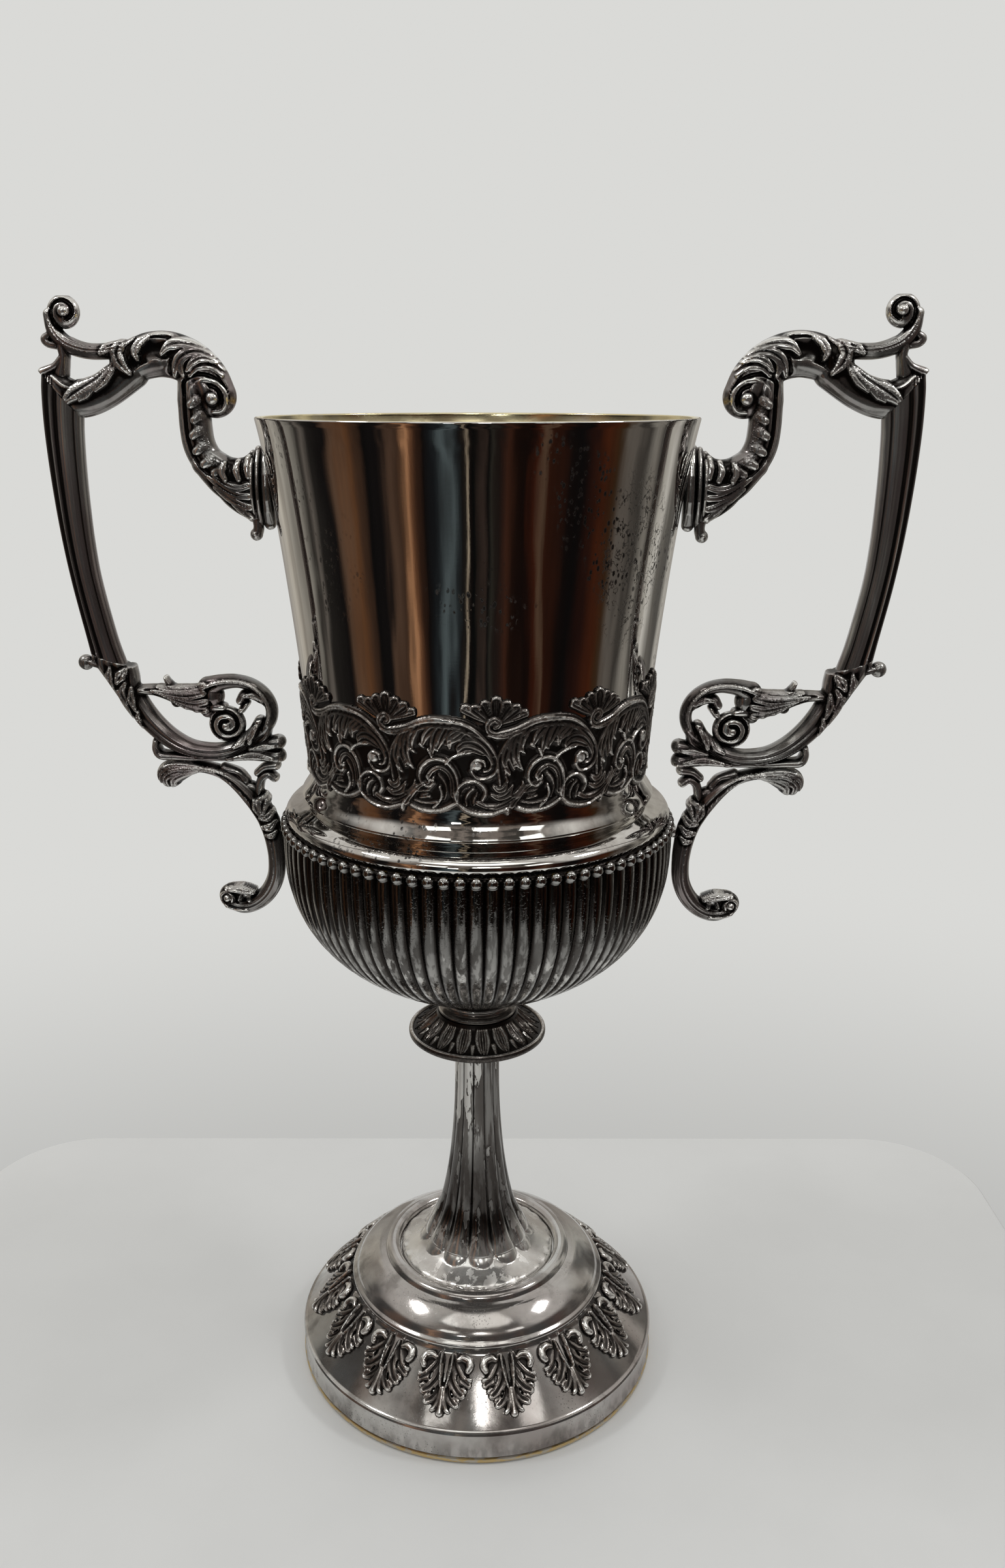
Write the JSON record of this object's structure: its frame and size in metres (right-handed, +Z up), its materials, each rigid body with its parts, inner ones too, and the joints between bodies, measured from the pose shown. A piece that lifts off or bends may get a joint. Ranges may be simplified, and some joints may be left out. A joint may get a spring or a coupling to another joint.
{
  "type": "two-handled cup trophy",
  "caption": "Flared silver-plated cup trophy with leafy scroll handles, a fluted bowl, a trumpet stem and a domed foot.",
  "frame": {"origin": "centre of the foot where it meets the table", "axes": "+Z up along the cup's axis, X through both handles, front of the cup faces -Y"},
  "size_m": [0.3064, 0.154, 0.4191],
  "materials": {
    "polished_silver": "mirror-polished silver plate, lightly tarnished, gilt inside the cup",
    "worn_silver": "silver plate gone dull and streaky in its flutes",
    "oxidised_silver": "cast silver plate, dark in its hollows and bright on its high points",
    "brass": "plain brass where the plating is worn off or was never put",
    "steel": "plain turned steel"
  },
  "bodies": {
    "root": {"foot_wire": "brass", "foot_dome": "polished_silver", "foot_leaf_01": "oxidised_silver", "foot_leaf_02": "oxidised_silver", "foot_leaf_03": "oxidised_silver", "foot_leaf_04": "oxidised_silver", "foot_leaf_05": "oxidised_silver", "foot_leaf_06": "oxidised_silver", "foot_leaf_07": "oxidised_silver", "foot_leaf_08": "oxidised_silver", "foot_leaf_09": "oxidised_silver", "foot_leaf_10": "oxidised_silver", "foot_leaf_11": "oxidised_silver", "foot_leaf_12": "oxidised_silver", "foot_leaf_13": "oxidised_silver", "foot_leaf_14": "oxidised_silver", "foot_leaf_15": "oxidised_silver", "fluted_stem": "worn_silver", "leaf_knop": "oxidised_silver", "neck_collar": "oxidised_silver", "fluted_bowl": "oxidised_silver", "cup_wall": "polished_silver", "frieze_panel_01": "oxidised_silver", "frieze_panel_02": "oxidised_silver", "frieze_panel_03": "oxidised_silver", "frieze_panel_04": "oxidised_silver", "frieze_panel_05": "oxidised_silver", "frieze_panel_06": "oxidised_silver", "frieze_panel_07": "oxidised_silver", "frieze_panel_08": "oxidised_silver", "frieze_panel_09": "oxidised_silver", "frieze_panel_10": "oxidised_silver", "frieze_panel_11": "oxidised_silver", "right_mount_plate": "oxidised_silver", "right_upper_scroll": "oxidised_silver", "right_grip": "oxidised_silver", "right_lower_scroll": "oxidised_silver", "right_leg_scroll": "oxidised_silver", "right_bowl_lug": "oxidised_silver", "left_mount_plate": "oxidised_silver", "left_upper_scroll": "oxidised_silver", "left_grip": "oxidised_silver", "left_lower_scroll": "oxidised_silver", "left_leg_scroll": "oxidised_silver", "left_bowl_lug": "oxidised_silver", "bowl_boss": "brass", "stud": "steel", "washer": "steel", "nut": "brass"}
  },
  "joints": []
}
